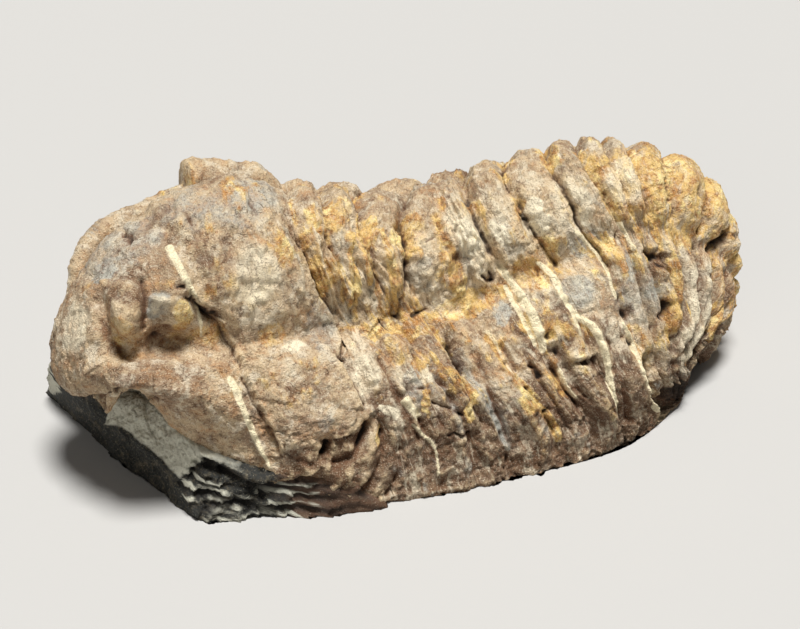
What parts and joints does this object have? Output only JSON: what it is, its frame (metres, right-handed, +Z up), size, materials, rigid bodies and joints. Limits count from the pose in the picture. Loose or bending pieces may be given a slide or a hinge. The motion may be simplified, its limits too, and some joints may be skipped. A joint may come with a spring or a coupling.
{
  "type": "neseuretus trilobite fossil",
  "caption": "Natural trilobite fossil, tail curled under, lying on its kept piece of broken matrix, for display or a collection tray.",
  "frame": {"origin": "middle of the stone's bounding box, on the ground under it", "axes": "+X along the back from the head to the tail, +Y to the side away from the viewer, +Z up"},
  "size_m": [0.0815, 0.0392, 0.0313],
  "materials": {
    "fossil_stone": "rough, brown to ochre stone with pale worn ridges"
  },
  "bodies": {
    "root": {"trilobite_fossil": "fossil_stone"}
  },
  "joints": []
}
